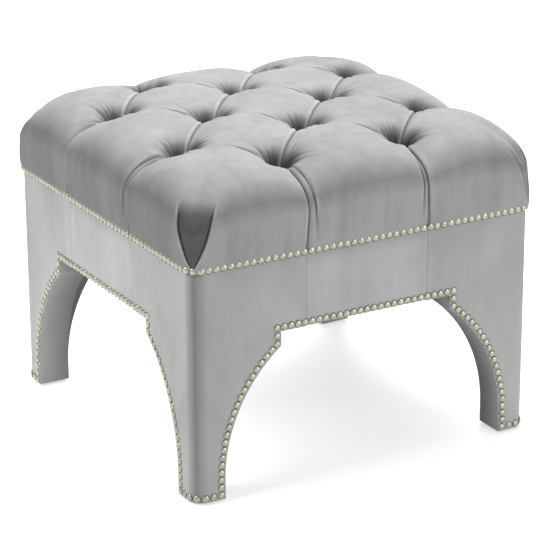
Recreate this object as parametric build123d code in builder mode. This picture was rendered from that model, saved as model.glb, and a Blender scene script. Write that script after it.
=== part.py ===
"""Tufted square stool: a velvet cushion on a timber base with arched faces, edged with domed nails.

Millimetres, +Z up, origin on the floor under the middle. The front face looks along -Y, and what
repeats on the other faces or corners is the front one, or the front left one, turned about Z.
"""
import math
import os

from build123d import *

os.makedirs("parts", exist_ok=True)

# Driving dimensions of the base
width = 560.0
nail_line = 350.0
apron_edge = 238.0
step_half = 140.0
step_rise = 21.0
seam_half = 100.0
corner_radius = 23.0

# Driving dimensions of the cushion
tuft_pitch = 100.0
edge_crown_height = 474.0
middle_crown_rise = 13.0
waist_height = 405.0
bulge = 7.0
shoulder_radius = 56.0
crown_corner_radius = 58.0
pit_radius = 8.0
pit_depth = 44.0
pit_well = 3.0
pit_flare = 80.0
pleat_depth = 4.0
pleat_reach = 18.0
edge_pleat_depth = 20.0
edge_pleat_reach = 24.0
pleat_arc = 45.0
side_pleat_depth = 6.0
side_pleat_reach = 8.0
side_pleat_arc = 60.0
dart_depth = 13.0
dart_width = 44.0
dart_height = 60.0
foam_setback = 18.0
foam_above_pits = 12.0
foam_round = 40.0
foam_corner_radius = 45.0
foam_hole_radius = 22.0

# Thicknesses and clearances
timber = 45.0
fabric = 2.0
deck_thickness = 12.0
glide_thickness = 4.0
dust_cloth = 0.8
slip = 0.5
fit_gap = 0.1
overshoot = 5.0
sink_reach = 48.0
nail_line_to_rail_top = 6.0
nail_line_to_cover_edge = 4.0
inner_wrap = 50.0
bracket_nib = 3.0

# Nails
nail_head_radius = 5.5
nail_head_height = 2.7
nail_shank_radius = 0.8
nail_shank_length = 13.0
nail_edge = 6.5
nails_per_seat_side = 48
nails_on_apron = 26
nails_on_step = 2
nails_on_arc = 21
nails_on_foot = 6

# Tuft hardware
button_height = 6.0
button_rim = 2.0
twine_radius = 1.2
washer_radius = 9.0
washer_thickness = 2.5
knot_radius = 3.0

# Joints of the frame
dowel_radius = 5.0
dowel_length = 50.0
dowel_drops_left = (16.0, 72.0)
dowel_drops_right = (34.0, 90.0)
screw_radius = 2.0
screw_head_radius = 4.0
screw_head_height = 2.6
screw_point = 4.0
screw_sink = 12.0
deck_screw_length = 40.0
deck_screw_spacing = 150.0
block_reach = 90.0
block_height = 56.0
block_screw_reach = 62.0
block_screw_length = 40.0
block_screw_drops = (16.0, 40.0)
bracket_screw_length = 60.0
bracket_screw_inset = 35.0
post_screw_length = 40.0
post_screw_height = 150.0

# Under the stool
glide_radius = 11.0
glide_round = 1.2
glide_shank_radius = 1.6
glide_shank_length = 18.0
dust_tab_reach = 30.0
dust_tab_margin = 2.0
staple_crown = 10.0
staple_wire = 0.7
staple_leg = 8.0
staple_reach = 20.0
staple_spacing = 30.0
staples_per_side = 9

# Derived
half = width / 2
leg_width = timber + 2 * fabric
arch_radius = half - leg_width
arch_centre = apron_edge - step_rise - math.sqrt(arch_radius**2 - step_half**2)
wood_outer = half - fabric
wood_inner = wood_outer - timber
post_centre = (wood_outer + wood_inner) / 2
post_foot = glide_thickness + fabric
rail_top = nail_line + nail_line_to_rail_top
rail_bottom = apron_edge + fabric
deck_top = rail_top + deck_thickness
cover_edge = nail_line - nail_line_to_cover_edge
cover_half = half + fabric
cover_corner = corner_radius + fabric
waist_half = half + bulge
crown_top = edge_crown_height + middle_crown_rise
shoulder_half = waist_half - shoulder_radius
dome_radius = (shoulder_half**2 + middle_crown_rise**2) / (2 * middle_crown_rise)
pit_floor = edge_crown_height - pit_depth
button_seat = pit_floor - pit_well
foam_top = pit_floor + foam_above_pits
dust_bottom = apron_edge - dust_cloth
sides = ("front", "right", "back", "left")
corners = ("front_left", "front_right", "back_right", "back_left")
tufts = [
    (column * tuft_pitch, row * tuft_pitch)
    for column in range(-2, 3)
    for row in range(-2, 3)
    if (column + row) % 2 == 1
]


def save(part, name):
    """Label one sub-part and write it."""
    part.label = name
    export_step(part, f"parts/{name}.step")


def save_turned(part, names):
    """Write the four copies of a sub-part, each turned a quarter further about Z."""
    for turn, name in enumerate(names):
        with BuildPart() as copy:
            add(part, rotation=(0, 0, 90 * turn))
        save(copy.part, name)


def turned_about(part):
    """The four turned copies of a sub-part as one."""
    with BuildPart() as whole:
        for turn in range(4):
            add(part, rotation=(0, 0, 90 * turn))
    return whole.part


def scattered(part, places):
    """Copies of one small piece at all its places."""
    with BuildPart() as group:
        with Locations(*places):
            add(part)
    return group.part


def cap_middle(radius, low, high):
    """Point halfway along a round cap's outline, which starts at its rim and ends on its axis."""
    rise = high - low
    ball = (radius**2 + rise**2) / (2 * rise)
    turn = math.asin(radius / ball) / 2
    return (ball * math.sin(turn), high - ball * (1 - math.cos(turn)))


# Arches

def arch_height(reach, grow):
    """Height of an arch's arc at a distance from the middle of its face."""
    return arch_centre + math.sqrt((arch_radius + grow) ** 2 - reach**2)


def arch_point(turn, grow):
    """Point of an arch's arc at an angle above level."""
    radius = arch_radius + grow
    return (radius * math.cos(turn), arch_centre + radius * math.sin(turn))


def arch_tunnels(grow):
    """The space under the four arches, wider by grow on every edge."""
    side = arch_radius + grow
    step = step_half + grow
    spring = arch_height(step, grow)
    bend = arch_point(math.acos(step / side) / 2, grow)
    with BuildPart() as tunnels:
        for plane in (Plane.XZ, Plane.YZ):
            with BuildSketch(plane):
                with BuildLine():
                    Polyline((side, arch_centre), (side, -half), (-side, -half), (-side, arch_centre))
                    ThreePointArc((-side, arch_centre), (-bend[0], bend[1]), (-step, spring))
                    Polyline(
                        (-step, spring),
                        (-step, apron_edge + grow),
                        (step, apron_edge + grow),
                        (step, spring),
                    )
                    ThreePointArc((step, spring), bend, (side, arch_centre))
                make_face()
            extrude(amount=width, both=True)
    return tunnels.part


# Timber frame

def rail_end_planes(drops, hand):
    """Planes of the dowels at one end of the front rail; hand -1 is the left end."""
    return [
        Plane(origin=(hand * wood_inner, -post_centre, rail_top - drop), z_dir=(hand, 0, 0))
        for drop in drops
    ]


dowel_planes = rail_end_planes(dowel_drops_left, -1) + rail_end_planes(dowel_drops_right, 1)
deck_screw_planes = [
    Plane(origin=(place * deck_screw_spacing, -post_centre, deck_top - screw_head_height - slip))
    for place in (-1, 0, 1)
]
block_screw_planes = [
    Plane(
        origin=(
            hand * (wood_inner - block_screw_reach),
            block_reach - block_screw_reach - screw_sink - wood_inner,
            rail_top - drop,
        ),
        z_dir=(0, 1, 0),
    )
    for hand in (-1, 1)
    for drop in block_screw_drops
]
bracket_screw_reach = step_half + bracket_screw_inset
bracket_screw_height = arch_height(bracket_screw_reach, fabric) + screw_sink
bracket_screw_planes = [
    Plane(origin=(hand * bracket_screw_reach, -post_centre, bracket_screw_height), z_dir=(0, 0, -1))
    for hand in (-1, 1)
]
post_screw_climb = post_screw_height - arch_centre
post_screw_reach = math.sqrt((arch_radius + fabric) ** 2 - post_screw_climb**2) + screw_sink
post_screw_planes = [
    Plane(origin=(hand * post_screw_reach, -post_centre, post_screw_height), z_dir=(-hand, 0, 0))
    for hand in (-1, 1)
]
screw_sets = (
    (deck_screw_planes, deck_screw_length),
    (block_screw_planes, block_screw_length),
    (bracket_screw_planes, bracket_screw_length),
    (post_screw_planes, post_screw_length),
)

with BuildPart() as side_holes:
    with Locations(*dowel_planes):
        Cylinder(dowel_radius + fit_gap, dowel_length + slip)
    for planes, length in screw_sets:
        with Locations(*planes):
            Cylinder(
                screw_head_radius + slip,
                sink_reach,
                align=(Align.CENTER, Align.CENTER, Align.MIN),
            )
            Cylinder(
                screw_radius + fit_gap,
                length + slip,
                align=(Align.CENTER, Align.CENTER, Align.MAX),
            )


def drill(turns):
    """Cut the holes of the dowels and screws of some sides out of the part that is being built."""
    for turn in turns:
        add(side_holes.part, rotation=(0, 0, 90 * turn), mode=Mode.SUBTRACT)


def wood_screw(length):
    """Pan-head screw that points down from the underside of its head."""
    with BuildPart() as screw:
        with BuildSketch(Plane.XZ):
            with BuildLine():
                Polyline(
                    (0, screw_head_height),
                    (screw_head_radius, screw_head_height),
                    (screw_head_radius, 0),
                    (screw_radius, 0),
                    (screw_radius, screw_point - length),
                    (0, -length),
                    (0, screw_head_height),
                )
            make_face()
        revolve(axis=Axis.Z)
    return screw.part


with BuildPart() as rail:
    with BuildSketch(Plane.XY.offset(rail_bottom)):
        with Locations((0, -post_centre)):
            Rectangle(2 * wood_inner, timber)
    extrude(amount=rail_top - rail_bottom)
    drill((0,))
save_turned(rail.part, [f"rail_{side}" for side in sides])

with BuildPart() as post:
    with BuildSketch(Plane.XY.offset(post_foot)) as post_plan:
        with Locations((-post_centre, -post_centre)):
            Rectangle(timber, timber)
        fillet(post_plan.vertices().sort_by_distance((-half, -half))[0], corner_radius - fabric)
    extrude(amount=rail_top - post_foot)
    drill((0, 3))
    with Locations((-post_centre, -post_centre, glide_thickness)):
        Cylinder(
            glide_shank_radius + fit_gap,
            glide_shank_length + slip,
            align=(Align.CENTER, Align.CENTER, Align.MIN),
            mode=Mode.SUBTRACT,
        )
save_turned(post.part, [f"post_{corner}" for corner in corners])

nib_reach = wood_inner - bracket_nib
nib_height = arch_height(nib_reach, fabric)
bracket_step = step_half + fabric
bracket_spring = arch_height(bracket_step, fabric)
bracket_turn = (math.acos(bracket_step / wood_inner) + math.acos(nib_reach / wood_inner)) / 2
bracket_bend = arch_point(bracket_turn, fabric)
with BuildPart() as bracket_right:
    with BuildSketch(Plane.XZ.offset(wood_inner)):
        with BuildLine():
            Polyline(
                (bracket_step, bracket_spring),
                (bracket_step, rail_bottom),
                (wood_inner, rail_bottom),
                (wood_inner, nib_height),
                (nib_reach, nib_height),
            )
            ThreePointArc((nib_reach, nib_height), bracket_bend, (bracket_step, bracket_spring))
        make_face()
    extrude(amount=timber)
    drill((0,))
save_turned(bracket_right.part, [f"bracket_{side}_right" for side in sides])

with BuildPart() as bracket_left:
    add(mirror(bracket_right.part, about=Plane.YZ, mode=Mode.PRIVATE))
save_turned(bracket_left.part, [f"bracket_{side}_left" for side in sides])

with BuildPart() as corner_block:
    with BuildSketch(Plane.XY.offset(rail_top - block_height)):
        with BuildLine():
            Polyline(
                (-wood_inner, -wood_inner),
                (block_reach - wood_inner, -wood_inner),
                (-wood_inner, block_reach - wood_inner),
                (-wood_inner, -wood_inner),
            )
        make_face()
    extrude(amount=block_height)
    drill((0, 3))
save_turned(corner_block.part, [f"corner_block_{corner}" for corner in corners])

with BuildPart() as deck:
    with BuildSketch(Plane.XY.offset(rail_top)):
        RectangleRounded(width - 2 * slip, width - 2 * slip, corner_radius)
        with Locations(*tufts):
            Circle(twine_radius + slip, mode=Mode.SUBTRACT)
    extrude(amount=deck_thickness)
    drill(range(4))
save(deck.part, "deck_panel")

with BuildPart() as dowel:
    Cylinder(dowel_radius, dowel_length)
save(turned_about(scattered(dowel.part, dowel_planes)), "rail_dowels")

frame_screws = (
    ("deck_screws", ((deck_screw_planes, deck_screw_length),)),
    ("corner_block_screws", ((block_screw_planes, block_screw_length),)),
    (
        "bracket_screws",
        ((bracket_screw_planes, bracket_screw_length), (post_screw_planes, post_screw_length)),
    ),
)
for name, kinds in frame_screws:
    with BuildPart() as side_screws:
        for planes, length in kinds:
            add(scattered(wood_screw(length), planes))
    save(turned_about(side_screws.part), name)


# Cushion

def cushion_level(reach, radius, height):
    """One level of the cushion's body as a rounded square."""
    with BuildSketch(Plane.XY.offset(height)) as level:
        RectangleRounded(2 * reach, 2 * reach, radius)
    return level.sketch


def cushion_body(inset, bottom):
    """The cushion before tufting, standing back by inset from the cover's outside."""
    share = (bottom - rail_top) / (waist_height - rail_top)
    foot_half = cover_half + (waist_half - cover_half) * share
    foot_corner = cover_corner + (crown_corner_radius - cover_corner) * share
    waist = cushion_level(waist_half - inset, crown_corner_radius - inset, waist_height)
    with BuildPart() as body:
        add(waist)
        extrude(amount=crown_top - waist_height)
        with Locations((0, 0, crown_top - dome_radius)):
            Sphere(dome_radius - inset, rotation=(90, 0, 0), mode=Mode.INTERSECT)
        rim = body.faces().filter_by(GeomType.SPHERE)[0].edges()
        fillet(rim, shoulder_radius - inset)
        loft([cushion_level(foot_half - inset, foot_corner - inset, bottom), waist], ruled=True)
    return body.part


def crown_level(away):
    """Height of the cushion's dome at a distance from its middle."""
    return crown_top - dome_radius + math.sqrt(dome_radius**2 - away**2)


def tuft_funnel(inset, away):
    """The space above a tuft at a distance from the middle, flaring from a narrow well to the crowns."""
    mouth = pit_radius + pit_flare
    rise = crown_level(away - mouth) - pit_floor
    with BuildPart() as funnel:
        with BuildSketch(Plane.XZ):
            with BuildLine():
                Polyline(
                    (pit_radius + inset, pit_floor),
                    (pit_radius + inset, button_seat - inset),
                    (0, button_seat - inset),
                    (0, pit_floor + 2 * rise),
                    (mouth, pit_floor + 2 * rise),
                    (mouth, pit_floor + rise - inset),
                )
                EllipticalCenterArc((mouth, pit_floor), pit_flare - inset, rise - inset, 90, arc_size=90)
            make_face()
        revolve(axis=Axis.Z)
    return funnel.part


def groove(plane, length, crease, reach, arc, inset):
    """The space above a pleat: two bulging arcs that meet in a crease, run along the plane's normal."""
    spread = math.sqrt(2 * arc * reach - reach**2)
    bulge_arc = arc - inset
    base = crease + reach - arc
    floor = base + math.sqrt(bulge_arc**2 - spread**2)
    crest = base + bulge_arc
    turn = (math.radians(90) + math.acos(spread / bulge_arc)) / 2
    bend = (spread - bulge_arc * math.cos(turn), base + bulge_arc * math.sin(turn))
    with BuildPart() as space:
        with BuildSketch(plane):
            with BuildLine():
                ThreePointArc((0, floor), bend, (spread, crest))
                Polyline(
                    (spread, crest),
                    (spread, crest + pit_flare),
                    (-spread, crest + pit_flare),
                    (-spread, crest),
                )
                ThreePointArc((-spread, crest), (-bend[0], bend[1]), (0, floor))
            make_face()
        extrude(amount=length)
    return space.part


def pleat_grooves(inset):
    """Spaces above the pleats that start at the front tufts, and down the front side."""
    pleat_crease = edge_crown_height - pleat_depth
    edge_crease = edge_crown_height - edge_pleat_depth
    side_crease = waist_half - side_pleat_depth
    diagonal = tuft_pitch * math.sqrt(2)
    low = rail_top - overshoot
    spaces = []
    for hand, count in ((-1, 3), (1, 1)):
        start = (hand * tuft_pitch, -2 * tuft_pitch)
        slant = Plane(origin=start, x_dir=(-1, 1, 0), z_dir=(1, 1, 0))
        ahead = Plane(origin=start, x_dir=(1, 0, 0), z_dir=(0, -1, 0))
        upward = Plane(origin=(start[0], 0, low), x_dir=(-1, 0, 0), z_dir=(0, 0, 1))
        spaces.append(groove(slant, count * diagonal, pleat_crease, pleat_reach, pleat_arc, inset))
        spaces.append(groove(ahead, half, edge_crease, edge_pleat_reach, pleat_arc, inset))
        spaces.append(
            groove(upward, edge_crease - low, side_crease, side_pleat_reach, side_pleat_arc, inset)
        )
    return spaces


def corner_dart(inset):
    """The sunk dart at the front left corner, a triangle that stands on its point."""
    reach = (cover_half - cover_corner) * math.sqrt(2) + cover_corner - inset
    point = nail_line + nail_head_radius
    lean = math.atan2(dart_depth, dart_height)
    outward = (-math.cos(lean), -math.cos(lean), math.sin(lean) * math.sqrt(2))
    place = Plane(
        origin=(-reach / math.sqrt(2), -reach / math.sqrt(2), point),
        x_dir=(1, -1, 0),
        z_dir=outward,
    )
    with BuildPart() as dart:
        with BuildSketch(place):
            with BuildLine():
                Polyline((-dart_width / 2, dart_height), (0, 0), (dart_width / 2, dart_height))
                ThreePointArc(
                    (dart_width / 2, dart_height),
                    (0, dart_height + dart_depth),
                    (-dart_width / 2, dart_height),
                )
            make_face()
            if inset:
                offset(amount=inset, kind=Kind.INTERSECTION)
        extrude(amount=dart_width)
    return dart.part


def cushion_form(inset, bottom):
    """The tufted cushion, standing back by inset from the cover's outside."""
    with BuildPart() as form:
        add(cushion_body(inset, bottom))
        for turn in range(4):
            add(pleat_grooves(inset), rotation=(0, 0, 90 * turn), mode=Mode.SUBTRACT)
            add(corner_dart(inset), rotation=(0, 0, 90 * turn), mode=Mode.SUBTRACT)
        for x, y in tufts:
            with Locations((x, y)):
                add(tuft_funnel(inset, math.hypot(x, y)), mode=Mode.SUBTRACT)
    return form.part


def square_prism(reach, radius, bottom, top):
    """Upright rounded square block."""
    with BuildPart() as prism:
        with BuildSketch(Plane.XY.offset(bottom)):
            RectangleRounded(2 * reach, 2 * reach, radius)
        extrude(amount=top - bottom)
    return prism.part


def twine_holes(bottom):
    """Holes for the twines, from a level up to the buttons."""
    with BuildPart() as holes:
        with Locations(*[(x, y, bottom) for x, y in tufts]):
            Cylinder(
                twine_radius + fit_gap,
                button_seat + overshoot - bottom,
                align=(Align.CENTER, Align.CENTER, Align.MIN),
            )
    return holes.part


stuffing = cushion_form(fabric, deck_top)

with BuildPart() as seat_cover:
    add(square_prism(cover_half, cover_corner, cover_edge, rail_top))
    add(cushion_form(0, rail_top))
    add(square_prism(half, corner_radius, cover_edge, deck_top), mode=Mode.SUBTRACT)
    add(stuffing, mode=Mode.SUBTRACT)
    add(twine_holes(deck_top), mode=Mode.SUBTRACT)
save(seat_cover.part, "seat_cover")

with BuildPart() as foam:
    add(square_prism(half - foam_setback, foam_corner_radius, deck_top, foam_top))
    fillet(foam.edges().group_by(Axis.Z)[-1], foam_round)
    with Locations(*[(x, y, deck_top) for x, y in tufts]):
        Cylinder(foam_hole_radius, width, mode=Mode.SUBTRACT)
save(foam.part, "seat_foam")

with BuildPart() as wadding:
    add(stuffing)
    add(foam.part, mode=Mode.SUBTRACT)
    add(twine_holes(deck_top - overshoot), mode=Mode.SUBTRACT)
save(wadding.part, "seat_wadding")

button_radius = pit_radius - slip
with BuildPart() as button:
    with BuildSketch(Plane.XZ):
        with BuildLine():
            Polyline((0, button_height), (0, 0), (button_radius, 0), (button_radius, button_rim))
            ThreePointArc(
                (button_radius, button_rim),
                cap_middle(button_radius, button_rim, button_height),
                (0, button_height),
            )
        make_face()
    revolve(axis=Axis.Z)
save(scattered(button.part, [(x, y, button_seat) for x, y in tufts]), "tuft_buttons")

washer_bottom = rail_top - washer_thickness
with BuildPart() as twine:
    Cylinder(
        twine_radius,
        button_seat - washer_bottom + knot_radius,
        align=(Align.CENTER, Align.CENTER, Align.MAX),
    )
    with Locations((0, 0, washer_bottom - button_seat - knot_radius)):
        Sphere(knot_radius)
save(scattered(twine.part, [(x, y, button_seat) for x, y in tufts]), "tuft_twines")

with BuildPart() as washer:
    Cylinder(washer_radius, washer_thickness, align=(Align.CENTER, Align.CENTER, Align.MAX))
    Cylinder(twine_radius + fit_gap, 2 * washer_thickness, mode=Mode.SUBTRACT)
save(scattered(washer.part, [(x, y, rail_top) for x, y in tufts]), "twine_washers")


# Velvet of the base

def leg_block(skin, past):
    """Corner leg with its apron wings; the faces stand back by skin and the open ends run past."""
    outer = half - skin
    inner = half - leg_width + skin
    end = seam_half - past
    start = glide_thickness + skin
    with BuildPart() as block:
        with BuildSketch(Plane.XY.offset(start)) as plan:
            with BuildLine():
                Polyline(
                    (-outer, -outer),
                    (-end, -outer),
                    (-end, -inner),
                    (-inner, -inner),
                    (-inner, -end),
                    (-outer, -end),
                    (-outer, -outer),
                )
            make_face()
            fillet(plan.vertices().sort_by_distance((-half, -half))[0], corner_radius - skin)
        extrude(amount=rail_top + past - start)
        add(arch_tunnels(skin), mode=Mode.SUBTRACT)
    return block.part


with BuildPart() as leg_cover:
    add(leg_block(0, 0))
    add(leg_block(fabric, overshoot), mode=Mode.SUBTRACT)
    with Locations((-wood_inner, -wood_inner, rail_bottom + inner_wrap)):
        Box(width, width, width, align=(Align.MIN, Align.MIN, Align.MIN), mode=Mode.SUBTRACT)
    with Locations((-post_centre, -post_centre)):
        Cylinder(glide_shank_radius + fit_gap, glide_shank_length, mode=Mode.SUBTRACT)
save_turned(leg_cover.part, [f"leg_cover_{corner}" for corner in corners])

with BuildPart() as apron_cover:
    with BuildSketch(Plane.YZ.offset(-seam_half)):
        with BuildLine():
            Polyline(
                (-half, rail_top),
                (-half, apron_edge),
                (-arch_radius, apron_edge),
                (-arch_radius, rail_bottom + inner_wrap),
                (-wood_inner, rail_bottom + inner_wrap),
                (-wood_inner, rail_bottom),
                (-wood_outer, rail_bottom),
                (-wood_outer, rail_top),
                (-half, rail_top),
            )
        make_face()
    extrude(amount=2 * seam_half)
save_turned(apron_cover.part, [f"apron_cover_{side}" for side in sides])


# Nails

with BuildPart() as nail:
    with BuildSketch(Plane.XZ):
        with BuildLine():
            ThreePointArc(
                (nail_head_radius, 0),
                cap_middle(nail_head_radius, 0, nail_head_height),
                (0, nail_head_height),
            )
            Polyline(
                (0, nail_head_height),
                (0, -nail_shank_length),
                (nail_shank_radius, 3 * nail_shank_radius - nail_shank_length),
                (nail_shank_radius, 0),
                (nail_head_radius, 0),
            )
        make_face()
    revolve(axis=Axis.Z)


def round_the_corner(distance, reach, radius, height):
    """Place on a rounded square's side, measured from the middle of its front left corner."""
    bend = radius * math.pi / 4
    centre = reach - radius
    if distance < bend:
        turn = math.radians(225) + distance / radius
        out = (math.cos(turn), math.sin(turn), 0)
        origin = (-centre + radius * out[0], -centre + radius * out[1], height)
        return Plane(origin=origin, z_dir=out)
    return Plane(origin=(distance - bend - centre, -reach, height), z_dir=(0, -1, 0))


def mirrored(plane):
    """The same place on the other half of the front face."""
    origin = (-plane.origin.X, plane.origin.Y, plane.origin.Z)
    return Plane(origin=origin, z_dir=(-plane.z_dir.X, plane.z_dir.Y, 0))


seat_run = 2 * (cover_half - cover_corner) + cover_corner * math.pi / 2
seat_nail_pitch = seat_run / nails_per_seat_side
half_count = nails_per_seat_side // 2
seat_nail_half = [
    round_the_corner(count * seat_nail_pitch, cover_half, cover_corner, nail_line)
    for count in range(half_count)
]
seat_nail_middle = Plane(origin=(0, -cover_half, nail_line), z_dir=(0, -1, 0))
seat_nail_planes = seat_nail_half + [seat_nail_middle] + [mirrored(place) for place in seat_nail_half[1:]]
save_turned(scattered(nail.part, seat_nail_planes), [f"seat_nails_{side}" for side in sides])

foot_row = glide_thickness + nail_edge
arc_row = arch_radius + nail_edge
step_row = step_half + nail_edge
apron_row = apron_edge + nail_edge
foot_run = half - corner_radius - arc_row + corner_radius * math.pi / 4
foot_pitch = 2 * foot_run / nails_on_foot
foot_rise = max(0.0, arch_centre - foot_row)
arc_start = math.asin(max(0.0, foot_row - arch_centre) / arc_row)
arc_end = math.acos(step_row / arc_row)
arc_pitch = (foot_rise + arc_row * (arc_end - arc_start)) / nails_on_arc
spring_row = arch_centre + arc_row * math.sin(arc_end)


def face_place(across, height):
    """Place of a nail on the left half of the front face."""
    return Plane(origin=(-across, -half, height), z_dir=(0, -1, 0))


def arc_place(distance):
    """Place of a nail along an arch's left edge, measured up from the foot."""
    if distance < foot_rise:
        return face_place(arc_row, foot_row + distance)
    turn = arc_start + (distance - foot_rise) / arc_row
    return face_place(arc_row * math.cos(turn), arch_centre + arc_row * math.sin(turn))


edge_nail_half = [
    round_the_corner(count * foot_pitch, half, corner_radius, foot_row)
    for count in range(nails_on_foot // 2)
]
edge_nail_half += [arc_place(count * arc_pitch) for count in range(nails_on_arc)]
edge_nail_half += [
    face_place(step_row, spring_row + (apron_row - spring_row) * count / nails_on_step)
    for count in range(nails_on_step)
]
edge_nail_half += [
    face_place(step_row - 2 * step_row * count / nails_on_apron, apron_row)
    for count in range(nails_on_apron // 2)
]
edge_nail_planes = edge_nail_half + [face_place(0, apron_row)]
edge_nail_planes += [mirrored(place) for place in edge_nail_half[1:]]
save_turned(scattered(nail.part, edge_nail_planes), [f"edge_nails_{side}" for side in sides])


# Under the stool

with BuildPart() as glide:
    with Locations((-post_centre, -post_centre)):
        Cylinder(glide_radius, glide_thickness, align=(Align.CENTER, Align.CENTER, Align.MIN))
        Cylinder(
            glide_shank_radius,
            glide_thickness + glide_shank_length,
            align=(Align.CENTER, Align.CENTER, Align.MIN),
        )
    fillet(glide.edges().group_by(Axis.Z)[0], glide_round)
save_turned(glide.part, [f"glide_{corner}" for corner in corners])

tab_half = step_half - dust_tab_margin
tab_end = arch_radius + dust_tab_reach
with BuildPart() as dust_cover:
    with BuildSketch(Plane.XY.offset(dust_bottom)):
        Rectangle(2 * (arch_radius - slip), 2 * (arch_radius - slip))
        Rectangle(2 * tab_half, 2 * tab_end)
        Rectangle(2 * tab_end, 2 * tab_half)
    extrude(amount=dust_cloth)
save(dust_cover.part, "dust_cover")

with BuildPart() as staple:
    Box(staple_crown, staple_wire, staple_wire, align=(Align.CENTER, Align.CENTER, Align.MAX))
    with Locations((-staple_crown / 2, 0, -staple_wire), (staple_crown / 2, 0, -staple_wire)):
        Box(
            staple_wire,
            staple_wire,
            staple_leg + staple_wire,
            align=(Align.CENTER, Align.CENTER, Align.MIN),
        )
staple_places = [
    ((place - (staples_per_side - 1) / 2) * staple_spacing, -arch_radius - staple_reach, dust_bottom)
    for place in range(staples_per_side)
]
save(turned_about(scattered(staple.part, staple_places)), "dust_cover_staples")
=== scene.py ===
"""Dresses the tufted stool's frame: soft cushion, velvet, nail heads, dust cloth, finishes and studio.

Sizes are in millimetres, as in the part's source, and meshes are in metres.
"""
import math

import bmesh
import bpy
import numpy as np
from mathutils import Matrix, Vector


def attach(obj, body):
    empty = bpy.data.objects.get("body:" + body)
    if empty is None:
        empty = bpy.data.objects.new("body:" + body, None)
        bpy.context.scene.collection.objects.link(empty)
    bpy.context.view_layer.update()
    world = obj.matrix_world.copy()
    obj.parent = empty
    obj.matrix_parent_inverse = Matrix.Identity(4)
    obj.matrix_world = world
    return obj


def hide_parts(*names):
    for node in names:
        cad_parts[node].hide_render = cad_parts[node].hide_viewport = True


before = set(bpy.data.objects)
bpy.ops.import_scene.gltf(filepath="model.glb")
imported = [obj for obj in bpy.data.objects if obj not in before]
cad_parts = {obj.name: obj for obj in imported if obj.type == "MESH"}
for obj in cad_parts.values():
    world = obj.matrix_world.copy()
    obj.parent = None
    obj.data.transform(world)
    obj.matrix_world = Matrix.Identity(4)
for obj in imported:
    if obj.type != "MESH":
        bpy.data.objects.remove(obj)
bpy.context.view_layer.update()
scene = bpy.context.scene
scene.view_settings.view_transform = "Standard"

# Frame and base, as in the part's source
mm = 0.001
half = 280.0
fabric = 2.0
slip = 0.5
nail_line = 350.0
rail_top = nail_line + 6.0
deck_thickness = 12.0
deck_top = rail_top + deck_thickness
base_corner = 23.0
corner_centre = half - base_corner
leg_width = 49.0
foot_level = 4.0
seam_half = 100.0
apron_edge = 238.0
step_half = 140.0
step_rise = 21.0
arch_radius = half - leg_width
arch_centre = apron_edge - step_rise - math.sqrt(arch_radius**2 - step_half**2)
inner_wrap = 50.0
inner_wrap_top = apron_edge + fabric + inner_wrap
corners = ["front_left", "front_right", "back_right", "back_left"]
sides = ["front", "right", "back", "left"]

# Velvet skins of the base, nails and dust cover
skin_thickness = fabric - 0.3
skin_edge = 3.6
# Painted highlight along the skins' rounded edges, painted shade on their inner faces, and a painted shadow
# just under the nails
edge_highlight_strength = 0.36
inner_shade_strength = 0.38
under_nails_shadow_strength = 0.14
seam_dip = 0.45
nail_head_radius = 5.5
nail_head_height = 2.7
nail_growth = 1.015
nail_tilt = 0.035
nail_around = 18
dust_tab_reach = 30.0
dust_tab_margin = 2.0
dust_cloth = 0.8
dust_bottom = apron_edge - dust_cloth
dust_gap = 0.05
dust_sag = 4.0
dust_pucker = 0.35
dust_pucker_pitch = 9.0
dust_pucker_reach = 25.0

# Cushion before it is tufted
bulge = 7.0
waist_half = half + bulge
waist_corner = 40.0
corner_power = 8.0
hem_height = nail_line - 4.0
hem_half = half + fabric
hem_corner = base_corner + fabric
hem_gap = 0.2
lid_level = deck_top + 0.3
crown_height = 471.5
crown_rise = 12.5
dome_half = 245.0
shoulder_radius = 64.0
shoulder_start = waist_half - shoulder_radius
shoulder_level = crown_height - shoulder_radius
even_half = 150.0

# Tufts, buttons, and the lines of the cover's grid, closer together along each row of tufts
pitch = 100.0
tufts = [(column, row) for column in range(-2, 3) for row in range(-2, 3) if (column + row) % 2 == 1]
button_radius = 7.2
button_seat = 427.0
button_height = 6.0
button_around = 32
half_cells = 149
cells_per_pitch = 38
crowding = 0.6
grid_steps = np.arange(-half_cells, half_cells + 1) / cells_per_pitch
lines = pitch * (grid_steps - crowding * np.sin(2 * np.pi * grid_steps) / (2 * np.pi))
sheet_half = lines[-1]
side_run = sheet_half - shoulder_start - shoulder_radius * math.pi / 2

# Valleys along the pleats, and the pits
pleat_valley = 4.5
lip_valley = 2.0
far_valley = 24.0
far_valley_reach = 40.0
edge_valley = 18.0
hem_valley = 1.5
shallow_pleat = (-1, 2)
shallow_share = 0.5
crown_spread = 28.0
crown_fill = 1.0
skin_rounds = 300
skin_push = 1.88
pit_level = 426.8
pit_radius = 7.0
funnel_reach = 8.5
funnel_round = 4.0
funnel_lobes = 0.28

# Folds: depth of the groove, height of the lip, how far it leans over, and the shade and highlight painted
# along it
crease_grip = 9.0
groove_widths = (2.2, 3.6)
groove_shade_strength = 0.9
groove_shade_depth = 3.0
crest_highlight_strength = 0.36
crest_highlight_near = 0.40
crest_highlight_reach = 42.0
crest_shade_clearing = 0.9
side_fold_shift = 2.2
far_fold_fading = 0.1
tuft_fold_start = (0.40, 0.70)
tuft_groove = 3.8
tuft_lip = 1.5
tuft_lean = 2.0
hem_groove = 5.0
hem_groove_loss = 2.9
hem_lip = 1.6
hem_lean = 2.8
second_folds = [
    ((-0.90 * pitch, -2.02 * pitch), (-0.82 * pitch, -sheet_half), 1.0),
    ((-2.02 * pitch, -0.90 * pitch), (-sheet_half, -0.84 * pitch), -1.0),
    ((0.92 * pitch, -2.02 * pitch), (0.88 * pitch, -sheet_half), -1.0),
]
second_groove = 3.0
second_lip = 1.0
second_lean = 1.2
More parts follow.
